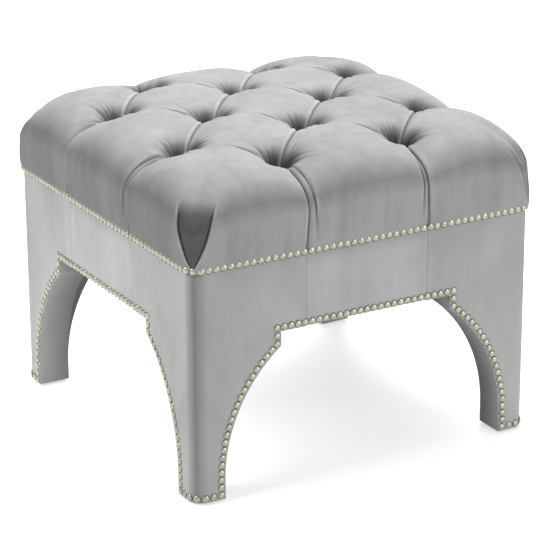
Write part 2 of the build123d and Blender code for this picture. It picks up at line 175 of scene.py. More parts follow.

# Gathers round the pits, with the ranges that they are drawn from, and the shade painted in the pits
gather_places = (16.0, 31.0, 45.0, 59.0, 74.0)
gather_turns = (-6.0, 6.0)
gather_lengths = (34.0, 58.0)
gather_depths = (1.0, 2.6)
gather_bends = (-5.0, 5.0)
strong_from = 70.0
strong_length = 1.2
strong_depth = 1.6
gather_lip = 0.4
gather_shade_strength = 0.45
gather_shade_most = 0.92
gather_highlight_strength = 0.10
pit_shade_strength = 0.98
pit_shade_shift = 9.0
pit_shade_reach = 27.0

# Upright folds in the cushion's sides, its uneven edges and the darts at its corners
side_fold_places = (-195.0, -150.0, -55.0, -30.0, -8.0, 22.0, 48.0, 72.0, 140.0, 175.0)
side_fold_wander = (-8.0, 8.0)
side_fold_depths = (0.25, 0.8)
side_fold_tops = (285.0, 320.0)
side_fold_leans = (-0.06, 0.06)
side_fold_widths = (2.5, 5.0)
right_fullness = 5.0
back_ease = 2.5
edge_band = (120.0, 230.0)
right_edge_least = 0.35
back_edge_more = 0.8
dart_foot = 351.0
dart_top = 438.0
dart_width = 55.0
dart_depth = 3.5
dart_lip = 1.6
dart_gap_limit = 12.0
right_dart_shade = 0.4

# Colours, studio and camera
velvet_grey = (0.279, 0.279, 0.279)
# The base's velvet is the seat's cloth made lighter: painted light
base_grey = (0.361, 0.361, 0.359)
# Painted shade: the grey that pits, grooves, gathers, inner faces and the band under the nails are darkened
# towards
painted_shade_grey = (0.020, 0.020, 0.022, 1.0)
# Painted highlight: how much lighter fold crests and rounded edges are made
painted_highlight_gain = (2.4, 2.4, 2.4, 1.0)
# Painted light: faces turned along this way are made lighter, faces turned across it darker
painted_light_way = (0.7, -0.7, 0.0)
white = (1.0, 1.0, 1.0, 1.0)
floor_size = 12000.0
floor_colour = (0.8, 0.8, 0.8, 1.0)
floor_glow = 0.60
room_strength = 0.45
lamp_aim = (0.0, 0.0, 300.0)
lamps = [
    ("key_lamp", (-2600.0, 100.0, 2200.0), 60.0, 1600.0),
    ("top_lamp", (700.0, 1700.0, 2800.0), 110.0, 2000.0),
    ("fill_lamp", (1500.0, -3200.0, 1000.0), 30.0, 2000.0),
]
camera_at = Vector((-1786.7, -3152.6, 1541.9)) * mm
camera_forward = Vector((0.4659, 0.8137, -0.3476)).normalized()
camera_sideways = Vector((0.8671, -0.498, -0.0038)).normalized()
focal_pixels = 2560.4
frame_pixels = 560.0


# Helpers

def new_piece(name, points, faces, smooth=True):
    """A mesh object from points in millimetres."""
    mesh = bpy.data.meshes.new(name)
    mesh.from_pydata((np.asarray(points) * mm).tolist(), [], faces)
    mesh.validate()
    piece = bpy.data.objects.new(name, mesh)
    scene.collection.objects.link(piece)
    if smooth:
        mesh.shade_smooth()
    return piece


def place(piece, material, slot, *nodes):
    """Gives a finished piece its material, its body and the nodes that it stands for."""
    piece.data.materials.clear()
    piece.data.materials.append(material)
    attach(piece, "root")
    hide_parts(*nodes)


def set_values(piece, name, values):
    """Stores one number for each point of a piece, which its material reads by name."""
    piece.data.attributes.new(name, "FLOAT", "POINT").data.foreach_set("value", values)


def face_outwards(piece):
    """Turns the faces of a closed piece outwards."""
    work = bmesh.new()
    work.from_mesh(piece.data)
    bmesh.ops.recalc_face_normals(work, faces=work.faces)
    work.to_mesh(piece.data)
    work.free()


def apply_modifiers(piece):
    """Works a piece's modifiers into its mesh."""
    bpy.context.view_layer.update()
    done = bpy.data.meshes.new_from_object(piece.evaluated_get(bpy.context.evaluated_depsgraph_get()))
    piece.modifiers.clear()
    piece.data = done


def dome_faces(start, rings, around):
    """Faces of a dome: bands between its rings, a fan at its top and a closed foot."""
    faces = []
    for ring in range(rings - 1):
        low = start + ring * around
        for step in range(around):
            after = (step + 1) % around
            faces.append((low + step, low + after, low + around + after, low + around + step))
    last = start + (rings - 1) * around
    top = start + rings * around
    for step in range(around):
        faces.append((last + step, last + (step + 1) % around, top))
    faces.append([start + step for step in range(around)][::-1])
    return faces


def ramp(value, low, high):
    """0 below low, 1 above high, smooth between them."""
    share = np.clip((value - low) / (high - low), 0.0, 1.0)
    return share * share * (3.0 - 2.0 * share)


def bell(value, width):
    """A smooth bump of the given half width."""
    return np.exp(-((value / width) ** 2))


def unit(vectors):
    """The vectors at length 1."""
    return vectors / np.maximum(np.linalg.norm(vectors, axis=-1, keepdims=True), 1e-9)


# Materials

def connect(tree, node, sockets):
    """Sets a node's sockets, by name or number: to a value, or by a link from another node's output."""
    for name, value in sockets.items():
        if isinstance(value, bpy.types.NodeSocket):
            tree.links.new(value, node.inputs[name])
        else:
            node.inputs[name].default_value = value


def add_node(tree, kind, sockets, **settings):
    """A node with its settings and its sockets."""
    node = tree.nodes.new(kind)
    for name, value in settings.items():
        setattr(node, name, value)
    connect(tree, node, sockets)
    return node


def new_material(name):
    """A new material with its node tree and its main shader."""
    material = bpy.data.materials.new(name)
    material.use_nodes = True
    tree = material.node_tree
    return material, tree, tree.nodes["Principled BSDF"]


def coordinates(tree, kind="Object"):
    return tree.nodes.new("ShaderNodeTexCoord").outputs[kind]


def attribute(tree, name):
    """The numbers that set_values stored under a name."""
    return add_node(tree, "ShaderNodeAttribute", {}, attribute_name=name).outputs["Fac"]


def noise(tree, where, scale, detail, roughness=0.55, distortion=0.0):
    sockets = {"Vector": where, "Scale": scale, "Detail": detail, "Roughness": roughness}
    return add_node(tree, "ShaderNodeTexNoise", {**sockets, "Distortion": distortion}).outputs["Fac"]


def stretched(tree, where, scale):
    return add_node(tree, "ShaderNodeMapping", {"Vector": where, "Scale": scale}).outputs["Vector"]


def grey(level):
    return (level, level, level)


def colours(tree, factor, stops):
    """A colour ramp of (place, colour) stops."""
    node = add_node(tree, "ShaderNodeValToRGB", {"Fac": factor})
    elements = node.color_ramp.elements
    while len(elements) < len(stops):
        elements.new(0.5)
    for element, (where, colour) in zip(elements, stops):
        element.position = where
        element.color = (*colour, 1.0)
    return node.outputs["Color"]


def span(tree, value, low, high, to_low=0.0, to_high=1.0):
    """A value taken from one range to another."""
    ends = {"From Min": low, "From Max": high, "To Min": to_low, "To Max": to_high}
    return add_node(tree, "ShaderNodeMapRange", {"Value": value, **ends}).outputs["Result"]


def mixed(tree, factor, first, second, blend="MIX"):
    """The first colour, with as much of the second as the factor says."""
    sockets = {"Factor": factor, "A": first, "B": second}
    return add_node(tree, "ShaderNodeMix", sockets, data_type="RGBA", blend_type=blend).outputs["Result"]


def multiplied(tree, first, second):
    return mixed(tree, 1.0, first, second, "MULTIPLY")


def bumped(tree, height, strength, distance, before=None):
    """A bumped normal, on top of another bump where one is given."""
    sockets = {"Height": height, "Strength": strength, "Distance": distance}
    if before is not None:
        sockets["Normal"] = before
    return add_node(tree, "ShaderNodeBump", sockets).outputs["Normal"]


def cushion_painted_light(tree, colour, normal):
    """Light and shade painted on the cushion by which way it faces, darker on its shoulders than on top,
    and strips of painted shade and highlight in its darts.
    """
    facing = add_node(tree, "ShaderNodeSeparateXYZ", {0: normal})
    upward = span(tree, facing.outputs["Z"], -0.1, 1.0)
    # Painted light: faces turned up are made lighter, the shoulders darker
    painted_top_light_stops = [(0.0, grey(0.95)), (0.12, grey(0.95)), (0.45, grey(0.74)), (0.85, grey(1.20))]
    colour = multiplied(tree, colour, colours(tree, upward, painted_top_light_stops))
    # Painted highlight just outside each dart's edge, painted shade along the edge and inside the sunk dart
    gap = span(tree, attribute(tree, "dart_gap"), -6.0, 6.0)
    painted_dart_stops = [(0.10, grey(1.0)), (0.34, grey(1.28)), (0.46, grey(1.0))]
    painted_dart_stops += [(0.52, grey(0.10)), (0.62, grey(0.14)), (0.74, (0.34, 0.34, 0.35))]
    striped = multiplied(tree, colour, colours(tree, gap, painted_dart_stops))
    return mixed(tree, attribute(tree, "dart_shade"), colour, striped)


def velvet(name, base, painted_light_levels, streaking, on_cushion=False):
    """Short grey pile: mottled nap, fine fibre grain, a pale sheen at the rims, light and shade painted by
    which way each face turns, and painted shade and highlights.
    """
    material, tree, shader = new_material(name)
    where = coordinates(tree)
    nap = noise(tree, stretched(tree, where, (9.0, 9.0, 4.0)), 1.0, 5.0, 0.6, 0.4)
    streaks = noise(tree, stretched(tree, where, (60.0, 60.0, 7.0)), 1.0, 3.0, 0.5)
    pile = noise(tree, where, 2600.0, 2.0, 0.6)
    dark = tuple(0.86 * part for part in base)
    light = tuple(min(1.0, 1.12 * part) for part in base)
    colour = colours(tree, nap, [(0.30, dark), (0.50, base), (0.72, light)])
    streak_stops = [(0.30, grey(1 - streaking)), (0.70, grey(1 + streaking))]
    colour = multiplied(tree, colour, colours(tree, streaks, streak_stops))
    colour = multiplied(tree, colour, colours(tree, pile, [(0.25, grey(0.90)), (0.75, grey(1.08))]))
    normal = coordinates(tree, "Normal")
    # Painted light and shade by which way a face turns, measured against painted_light_way
    facing_light = add_node(tree, "ShaderNodeVectorMath", {0: normal, 1: painted_light_way}, operation="DOT_PRODUCT")
    light_share = span(tree, facing_light.outputs["Value"], -0.7, 0.7)
    painted_light_stops = [(share, grey(level)) for share, level in zip((0.0, 0.5, 1.0), painted_light_levels)]
    colour = multiplied(tree, colour, colours(tree, light_share, painted_light_stops))
    # The cushion also gets light and shade painted by how far its faces turn up, and painted strips in its
    # darts
    if on_cushion:
        colour = cushion_painted_light(tree, colour, normal)
    # Painted highlight along fold crests and the base's rounded edges
    lighter = multiplied(tree, colour, painted_highlight_gain)
    colour = mixed(tree, attribute(tree, "painted_highlight_amount"), colour, lighter)
    looks = {
        # Painted shade, as strong as the amount stored at each point
        "Base Color": mixed(tree, attribute(tree, "painted_shade_amount"), colour, painted_shade_grey),
        "Roughness": span(tree, nap, 0.3, 0.7, 0.92, 0.80),
        "Normal": bumped(tree, pile, 0.25, 0.0003, bumped(tree, nap, 0.10, 0.002)),
        "Specular IOR Level": 0.15,
        "Sheen Weight": 0.12,
        "Sheen Roughness": 0.35,
        "Sheen Tint": (0.93, 0.93, 0.93, 1.0),
    }
    connect(tree, shader, looks)
    return material


def nail_material():
    """Antique metal with dull patches, darkened round the rims: grime, and painted shade where the heads
    meet the cloth.
    """
    material, tree, shader = new_material("nail_metal")
    where = coordinates(tree)
    tarnish = noise(tree, where, 420.0, 3.0, 0.6)
    patches = noise(tree, where, 60.0, 3.0, 0.5)
    colour = colours(tree, patches, [(0.3, (0.35, 0.34, 0.28)), (0.7, (0.43, 0.415, 0.345))])
    dull = colours(tree, tarnish, [(0.30, (0.80, 0.78, 0.74)), (0.62, grey(1.0))])
    colour = multiplied(tree, colour, dull)
    looks = {
        "Base Color": mixed(tree, attribute(tree, "rim_shade_and_grime"), colour, (0.075, 0.070, 0.052, 1.0)),
        "Metallic": 1.0,
        "Roughness": span(tree, tarnish, 0.3, 0.7, 0.34, 0.20),
        "Normal": bumped(tree, tarnish, 0.15, 0.0003),
    }
    connect(tree, shader, looks)
    return material


def cambric_material():
    """Thin black cloth with a fine weave and slubs."""
    material, tree, shader = new_material("cambric")
    where = coordinates(tree)
    sockets = {"Vector": where, "Scale": 520.0, "Distortion": 0.6}
    warp, weft = (
        add_node(tree, "ShaderNodeTexWave", sockets, bands_direction=axis).outputs["Fac"] for axis in "XY"
    )
    weave = add_node(tree, "ShaderNodeMath", {0: warp, 1: weft}, operation="MULTIPLY").outputs[0]
    slub = noise(tree, stretched(tree, where, (12.0, 90.0, 12.0)), 1.0, 3.0)
    looks = {
        "Base Color": colours(tree, slub, [(0.3, (0.012, 0.012, 0.013)), (0.7, (0.03, 0.03, 0.032))]),
        "Roughness": span(tree, weave, 0.0, 1.0, 0.95, 0.8),
        "Normal": bumped(tree, weave, 0.4, 0.0003),
    }
    connect(tree, shader, looks)
    return material


def wood_material(name, dark, light, along):
    """Wood with its grain along one axis, and fine pores."""
    material, tree, shader = new_material(name)
    where = coordinates(tree)
    grain_scale = [26.0, 26.0, 26.0]
    grain_scale[along] = 2.0
    pore_scale = [520.0, 520.0, 520.0]
    pore_scale[along] = 60.0
    along_grain = stretched(tree, where, grain_scale)
    sockets = {"Vector": along_grain, "Scale": 1.0, "Distortion": 5.0, "Detail": 3.0}
    rings = add_node(tree, "ShaderNodeTexWave", sockets, wave_type="RINGS", rings_direction="XYZ"[along])
    grain = rings.outputs["Fac"]
    pores = noise(tree, stretched(tree, where, pore_scale), 1.0, 2.0)
    colour = colours(tree, grain, [(0.1, dark), (0.8, light)])
    pore_shade = colours(tree, pores, [(0.35, (0.82, 0.80, 0.78)), (0.6, grey(1.0))])
    looks = {
        "Base Color": multiplied(tree, colour, pore_shade),
        "Roughness": span(tree, grain, 0.0, 1.0, 0.75, 0.6),
        "Normal": bumped(tree, pores, 0.2, 0.0004),
    }
    connect(tree, shader, looks)
    return material


def plain_material(name, dark, light, scale, rough, metal=0.0, depth=0.0003):
    """A finish with small spots in its colour, its gloss and its height."""
    material, tree, shader = new_material(name)
    spots = noise(tree, coordinates(tree), scale, 4.0)
    looks = {
        "Base Color": colours(tree, spots, [(0.3, dark), (0.7, light)]),
        "Roughness": span(tree, spots, 0.3, 0.7, rough + 0.08, rough - 0.08),
        "Normal": bumped(tree, spots, 0.3, depth),
        "Metallic": metal,
    }
    connect(tree, shader, looks)
    return material


# The three levels are painted light: colour for faces turned against, across and along painted_light_way
seat_velvet = velvet("seat_velvet", velvet_grey, (0.72, 1.0, 1.40), 0.06, on_cushion=True)
base_velvet = velvet("base_velvet", base_grey, (1.07, 0.54, 1.18), 0.025)
nail_metal = nail_material()


# Tufted cushion

def side_profile(run):
    """Half width, height and corner radius of the untufted cushion at a distance from its middle."""
    turn = np.clip((run - shoulder_start) / shoulder_radius, 0.0, math.pi / 2)
    down = np.clip((run - shoulder_start - shoulder_radius * math.pi / 2) / side_run, 0.0, 1.0)
    flat = np.minimum(run, shoulder_start)
    reach = flat + shoulder_radius * np.sin(turn) - (waist_half - hem_half) * down**1.6
    level = shoulder_level + shoulder_radius * np.cos(turn) - (shoulder_level - hem_height) * down
    corner = waist_corner * ramp(run, 165.0, 300.0) - (waist_corner - hem_corner) * ramp(down, 0.0, 1.0)
    return reach, level, corner


def crown_dome(x, y):
    """How far the cushion's middle stands above its edge."""
    return crown_rise * np.clip(1 - (x / dome_half) ** 2, 0, 1) * np.clip(1 - (y / dome_half) ** 2, 0, 1)


def base_surface(u, v):
    """The untufted cushion under the sheet, with the way along its side and the side's length."""
    run = np.maximum(np.abs(u), np.abs(v))
    on_x = np.abs(u) >= np.abs(v)
    along = np.where(on_x, v, u)
    reach, level, corner = side_profile(run)
    rounded = (np.abs(u) ** corner_power + np.abs(v) ** corner_power) ** (1 / corner_power)
    _, level, _ = side_profile(run + (rounded - run) * (1 - ramp(run, 250.0, 380.0)))
    side = reach - corner + corner * math.pi / 4
    spare = np.maximum(np.abs(along) - even_half, 0.0)
    stretch = (side - even_half) / np.maximum(run - even_half, 1e-6)
    way = np.where(np.abs(along) <= even_half, np.abs(along), even_half + spare * stretch)
    turn = np.clip((way - (reach - corner)) / np.maximum(corner, 1e-6), 0.0, math.pi / 4)
    straight = np.minimum(way, reach - corner)
    out = np.where(turn > 0, reach - corner + corner * np.cos(turn), reach)
    over = (straight + corner * np.sin(turn)) * np.sign(along)
    x = np.where(on_x, out * np.sign(u), over)
    y = np.where(on_x, over, out * np.sign(v))
    return np.stack([x, y, level + crown_dome(x, y)], -1), way, side


def sheet_frame(points):
    """Unit directions along the sheet's two ways and out of it."""
    along_u = unit(np.gradient(points, axis=0))
    along_v = unit(np.gradient(points, axis=1))
    return along_u, along_v, unit(np.cross(along_u, along_v))


def relaxed(depth, held):
    """The depth of a stretched skin that is held along the pleats and filled up between them."""
    load = crown_fill / crown_spread**2
    spring = 1 / crown_spread**2
    gaps = np.diff(lines)
    before = gaps[:-1]
    after = gaps[1:]
    to_after = 2 / (after * (before + after))
    to_before = 2 / (before * (before + after))
    own = to_after + to_before
    rows = own[:, None] + own[None, :]
    inner = (slice(1, -1), slice(1, -1))
    index = np.add.outer(np.arange(1, len(lines) - 1), np.arange(1, len(lines) - 1))
    free = [(~held[inner]) & (index % 2 == colour) for colour in (0, 1)]
    for _ in range(skin_rounds):
        for mask in free:
            pull = to_after[:, None] * depth[2:, 1:-1] + to_before[:, None] * depth[:-2, 1:-1]
            pull += to_after[None, :] * depth[1:-1, 2:] + to_before[None, :] * depth[1:-1, :-2]
            target = (pull - load) / (rows + spring)
            depth[inner] += np.where(mask, skin_push * (target - depth[inner]), 0.0)
    return depth


def pleat_list():
    """The pleats as pairs of places in pitches: from tuft to tuft, and from outer tufts to the hem."""
    pairs = []
    ends = []
    for column, row in tufts:
        for step in (-1, 1):
            if (column + 1, row + step) in tufts:
                pairs.append(((column, row), (column + 1, row + step)))
        if abs(row) == 2:
            ends.append(((column, row), (column, math.copysign(sheet_half / pitch, row))))
        if abs(column) == 2:
            ends.append(((column, row), (math.copysign(sheet_half / pitch, column), row)))
    return pairs, ends


between_tufts, to_hem = pleat_list()


def held_depths():
    """Depth of the sheet along its pleats and its edge, and which grid points those are."""
    count = len(lines)
    depth = np.zeros((count, count))
    held = np.zeros((count, count), bool)
    held[0, :] = held[-1, :] = held[:, 0] = held[:, -1] = True
    middle = half_cells
    steps = np.arange(cells_per_pitch + 1)
    for (column, row), (_, other_row) in between_tufts:
        u_index = middle + column * cells_per_pitch + steps
        v_index = middle + row * cells_per_pitch + (other_row - row) * steps
        travel = np.hypot(lines[u_index] - column * pitch, lines[v_index] - row * pitch)
        if other_row > row:
            valley = lip_valley + far_valley * np.exp(-travel / far_valley_reach)
        else:
            valley = pleat_valley * (1 - ramp(travel, 8.0, 40.0) + ramp(travel, 66.0, 112.0))
        sewn = valley > 0.1
        depth[u_index[sewn], v_index[sewn]] = valley[sewn]
        held[u_index[sewn], v_index[sewn]] = True
    run = lines[middle + 2 * cells_per_pitch:]
    valley = pleat_valley + (edge_valley - pleat_valley) * ramp(run, 200.0, 228.0)
    valley = valley * (1 - ramp(run, 246.0, 318.0)) + hem_valley * (1 - ramp(run, 320.0, 385.0))
    for (column, row), _ in to_hem:
        sign = 1 if max(column, row, key=abs) > 0 else -1
        along = middle + sign * (2 * cells_per_pitch + np.arange(len(run)))
        if abs(row) == 2:
            where = (middle + column * cells_per_pitch, along)
        else:
            where = (along, middle + row * cells_per_pitch)
        depth[where] = valley * (shallow_share if (column, row) == shallow_pleat else 1.0)
        held[where] = True
    return depth, held


def tufted_depth(u, v):
    """Depth of the soft form below the untufted cushion: shallow valleys along the pleats, deep pits."""
    depth = relaxed(*held_depths())
    for column, row in tufts:
        bottom = crown_height + crown_dome(column * pitch, row * pitch) - pit_level
        away = np.hypot(u - column * pitch, v - row * pitch)
        turn = np.arctan2(v - row * pitch, u - column * pitch)
        lobes = 1 - funnel_lobes * np.cos(4 * turn) * ramp(away, 4.0, 20.0)
        wall = np.hypot(np.maximum(away - pit_radius, 0.0), funnel_round) - funnel_round
        depth = depth + (bottom - depth) * np.exp(-wall / (funnel_reach * lobes))
    return depth


class Cover:
    """The cover while it is folded: how its grid points lift and slide, and the shade and highlights
    painted on it.
    """

    def __init__(self):
        self.u, self.v = np.meshgrid(lines, lines, indexing="ij")
        self.run = np.maximum(np.abs(self.u), np.abs(self.v))
        self.points, self.way, self.side = base_surface(self.u, self.v)
        self.lift = -tufted_depth(self.u, self.v)
        self.shift_u = np.zeros_like(self.u)
        self.shift_v = np.zeros_like(self.u)
        # Painted shade and painted highlight, point by point
        self.dark = np.zeros_like(self.u)
        self.bright = np.zeros_like(self.u)
        self.crests = []

    def crease(self, start, end, groove, lip, lean, fold, near_highlight=crest_highlight_near):
        """A fold along a pleat: a sharp groove with painted shade, and one lip that leans over it with a
        painted highlight on its crest.
        """
        start = np.array(start, float)
        end = np.array(end, float)
        length = np.linalg.norm(end - start)
        way_u, way_v = (end - start) / length
        travel = (self.u - start[0]) * way_u + (self.v - start[1]) * way_v
        across = fold * ((self.v - start[1]) * way_u - (self.u - start[0]) * way_v)
        inside = ramp(travel, 0.0, crease_grip) * (1 - ramp(travel, length - crease_grip, length))
        strength = inside * groove(travel)
        width = np.where(across > 0, *groove_widths)
        self.lift -= strength * np.exp(-((np.abs(across) / width) ** 1.4))
        self.lift += inside * lip(travel) * bell(across - 3.4, 2.4)
        push = inside * lean(travel) * bell(across - 2.2, 2.6) * -fold
        self.shift_u -= push * way_v
        self.shift_v += push * way_u
        # Painted shade in the groove, and a painted highlight along the lip's crest
        dark = groove_shade_strength * np.clip(strength / groove_shade_depth, 0, 1)
        self.dark = np.maximum(self.dark, dark * bell(across + 0.5, 1.7))
        crest = np.clip(inside * lip(travel), 0, 1) * bell(across - 2.0, 1.5)
        pale = crest_highlight_strength + (near_highlight - crest_highlight_strength) * bell(travel, crest_highlight_reach)
        self.bright = np.maximum(self.bright, pale * crest)
        self.crests.append(crest)

    def fold_between_tufts(self):
        """Folds between tufts: whole ones towards the back right, half ones towards the front right."""
        for start, end in between_tufts:
            first = np.array(start) * pitch
            last = np.array(end) * pitch
            total = np.linalg.norm(last - first)
            if last[1] > first[1]:
                fading = far_fold_fading
                near_highlight = 1.0
            else:
                fading = 1.0
                near_highlight = crest_highlight_near
                first = first + side_fold_shift
                last = last + side_fold_shift
            low, high = (share * total for share in tuft_fold_start)
            self.crease(
                first,
                last,
                lambda travel: tuft_groove * (1 - fading * (1 - ramp(travel, low, high))),
                lambda travel: tuft_lip * (1 - fading * (1 - ramp(travel, low, high))),
                lambda travel: tuft_lean * bell(travel - total / 2, 0.30 * total),
                1.0,
                near_highlight,
            )

    def fold_to_hem(self, chance):
        """Folds from the outer tufts over the edge, and a second fold beside three of them."""
        for start, end in to_hem:
            self.crease(
                np.array(start) * pitch,
                np.array(end) * pitch,
                lambda travel: hem_groove - hem_groove_loss * ramp(travel, 100.0, 185.0),
                lambda travel: hem_lip * ramp(travel, 10.0, 50.0) * (1 - ramp(travel, 140.0, 185.0)),
                lambda travel: hem_lean * ramp(travel, 10.0, 40.0) * (1 - ramp(travel, 120.0, 180.0)),
                chance.choice([-1.0, 1.0]),
            )
        for start, end, fold in second_folds:
            self.crease(
                start,
                end,
                lambda travel: second_groove * (1 - ramp(travel, 120.0, 185.0)),
                lambda travel: second_lip * (1 - ramp(travel, 90.0, 170.0)),
                lambda travel: second_lean,
                fold,
            )

    def gather(self, rel_u, rel_v, angle, length, size, bend):
        """One fine fold that runs out of a pit, with shade painted in it and a faint painted highlight
        beside it.
        """
        travel = rel_u * math.cos(angle) + rel_v * math.sin(angle)
        bent = bend * (travel / 50.0) ** 2
        across = rel_v * math.cos(angle) - rel_u * math.sin(angle) - bent
        inside = ramp(travel, 4.0, 14.0) * (1 - ramp(travel, 0.45 * length, length))
        line = np.exp(-np.abs(across) / (1.3 + 0.03 * np.abs(travel)))
        self.lift -= size * inside * line
        self.lift += gather_lip * size * inside * bell(across - 3.4, 2.0)
        fading = 1 - 0.5 * ramp(travel, 14.0, 46.0)
        dark = min(gather_shade_strength * size, gather_shade_most) * inside * line * fading
        self.dark = np.maximum(self.dark, dark)
        pale = gather_highlight_strength * size * inside * bell(across - 3.0, 1.6)
        self.bright = np.maximum(self.bright, pale)

    def gather_round_tufts(self, chance):
        """Gathers that fan out of each pit between its pleats, and the shade painted in the pit, set off to
        one side.
        """
        for column, row in tufts:
            rel_u = self.u - column * pitch
            rel_v = self.v - row * pitch
            for quarter in range(4):
                for between in gather_places:
                    angle = math.radians(-45.0 + 90.0 * quarter + between + chance.uniform(*gather_turns))
                    strong = quarter == 0 or (quarter == 1 and between > strong_from)
                    length = chance.uniform(*gather_lengths) * (strong_length if strong else 1.0)
                    size = chance.uniform(*gather_depths) * (strong_depth if strong else 1.0)
                    self.gather(rel_u, rel_v, angle, length, size, chance.uniform(*gather_bends))
            away = np.hypot(rel_u - pit_shade_shift, rel_v)
            dark = pit_shade_strength * np.exp(-((away / pit_shade_reach) ** 2.4))
            self.dark = np.maximum(self.dark, dark)
        # The painted shade is taken off the folds' crests
        for crest in self.crests:
            self.dark = self.dark * (1 - crest_shade_clearing * crest)

    def fold_sides(self, chance):
        """Faint upright folds in the cushion's four sides."""
        on_x = np.abs(self.u) >= np.abs(self.v)
        along = np.where(on_x, self.v, self.u)
        face = np.where(on_x, np.where(self.u > 0, 1, 3), np.where(self.v > 0, 2, 0))
        for number in range(len(sides)):
            for middle in side_fold_places:
                place_at = middle + chance.uniform(*side_fold_wander)
                size = chance.uniform(*side_fold_depths)
                top = chance.uniform(*side_fold_tops)
                lean = chance.uniform(*side_fold_leans)
                across = along - place_at - lean * (self.run - 330.0)
                inside = ramp(self.run, top, top + 25.0) * (1 - ramp(self.run, 362.0, 392.0))
                inside = inside * (face == number)
                self.lift -= size * inside * bell(across, chance.uniform(*side_fold_widths))

    def fill_edges(self):
        """Fills the right edge and eases the back edge."""
        on_top = 1 - ramp(self.run, 260.0, 330.0)
        right_share = right_edge_least + (1 - right_edge_least) * ramp(self.v, -60.0, 80.0)
        right_edge = ramp(self.u, *edge_band) * (1 - ramp(self.v, 130.0, 220.0)) * right_share
        back_edge = ramp(self.v, *edge_band) * (1 + back_edge_more * ramp(self.u, 40.0, 180.0))
        self.lift += (right_fullness * right_edge - back_ease * back_edge) * on_top

    def add_darts(self):
        """A sunk dart at each corner; gives how far inside it a point is, and how strongly shade and a
        highlight are painted there.
        """
        height = self.points[..., 2]
        from_corner = self.side - self.way
        climb = np.clip((height - dart_foot) / (dart_top - dart_foot), 0.0, 1.0)
        dart_half = dart_width / 2 * np.sin(math.pi / 2 * climb**0.9)
        fade = (1 - ramp(height, dart_top - 16.0, dart_top + 5.0)) * (self.run > 230.0)
        inside = ramp(dart_half - from_corner, -0.5, 1.5)
        self.lift -= dart_depth * inside * fade * ramp(climb, 0.06, 0.4)
        lip = dart_lip * bell(from_corner - dart_half - 3.2, 2.8)
        self.lift += lip * fade * (1 - inside)
        gap = np.clip(dart_half - from_corner, -dart_gap_limit, dart_gap_limit)
        # Painted shade and highlight in the darts, weaker at the front right corner
        at_right = (self.u > 0) & (self.v < 0)
        shade = fade * ramp(climb, 0.0, 0.04) * np.where(at_right, right_dart_shade, 1.0)
        return gap, shade


def tufted_points():
    """The cushion's cover, with shade and highlights painted on it: in pits, grooves and gathers, along
    fold crests, and in the corner darts.
    """
    cover = Cover()
    chance = np.random.RandomState(11)
    cover.fold_between_tufts()
    cover.fold_to_hem(chance)
    cover.gather_round_tufts(chance)
    cover.fold_sides(chance)
    cover.fill_edges()
    gap, shade = cover.add_darts()
    along_u, along_v, out = sheet_frame(cover.points)
    points = cover.points + cover.lift[..., None] * out
    points = points + cover.shift_u[..., None] * along_u + cover.shift_v[..., None] * along_v
    shades = {"painted_shade_amount": cover.dark, "painted_highlight_amount": cover.bright, "dart_gap": gap, "dart_shade": shade}
    return points, shades


def sheet_faces(count):
    """Triangles of the sheet, split along the pleats, and along the corners outside the tufts."""
    first = np.arange(count - 1)
    low = (first[:, None] * count + first[None, :]).ravel()
    middles = (lines[:-1] + lines[1:]) / 2
    square = np.floor(middles / pitch).astype(int)
    column = np.repeat(square, count - 1)
    row = np.tile(square, count - 1)
    at_corner = (np.abs(column + 0.5) > 2) & (np.abs(row + 0.5) > 2)
    rising = np.where(at_corner, column == row, (column + row) % 2 == 1)
    right = low + count
    over = low + 1
    far = low + count + 1
    one = np.where(rising[:, None], np.stack([low, right, far], -1), np.stack([low, right, over], -1))
    two = np.where(rising[:, None], np.stack([low, far, over], -1), np.stack([right, far, over], -1))
    return np.concatenate([one, two])


def rim_indices(count):
    """Indices round the edge of a square grid, anticlockwise from above."""
    line = np.arange(count)
    bottom = line[:-1] * count
    right = (count - 1) * count + line[:-1]
    top = line[:0:-1] * count + count - 1
    left = line[:0:-1]
    return np.concatenate([bottom, right, top, left])


def make_cushion():
    """The closed cushion: its cover, a hem turned in behind the nails, and a lid on the deck."""
    points, shades = tufted_points()
    count = points.shape[0]
    flat = points.reshape(-1, 3)
    rim = rim_indices(count)
    edge = flat[rim]
    reach = np.sqrt((edge[:, :2] ** 2).sum(1, keepdims=True))
    inner = edge.copy()
    inner[:, :2] *= (reach - fabric + hem_gap) / reach
    upper = inner.copy()
    upper[:, 2] = lid_level
    centre = np.array([[0.0, 0.0, lid_level]])
    start = len(flat)
    around = len(rim)
    faces = sheet_faces(count).tolist()
    ring = np.arange(around)
    following = (ring + 1) % around
    rings = [rim, start + ring, start + around + ring]
    for outer, inside in zip(rings[:-1], rings[1:]):
        faces += np.stack([outer[following], outer, inside, inside[following]], -1).tolist()
    last = np.full(around, start + 2 * around)
    faces += np.stack([rings[2][following], rings[2], last], -1).tolist()
    cushion = new_piece("seat_cushion", np.concatenate([flat, inner, upper, centre]), faces)
    for name, shade in shades.items():
        values = np.zeros(len(cushion.data.vertices))
        values[:start] = shade.ravel()
        set_values(cushion, name, values)
    return cushion


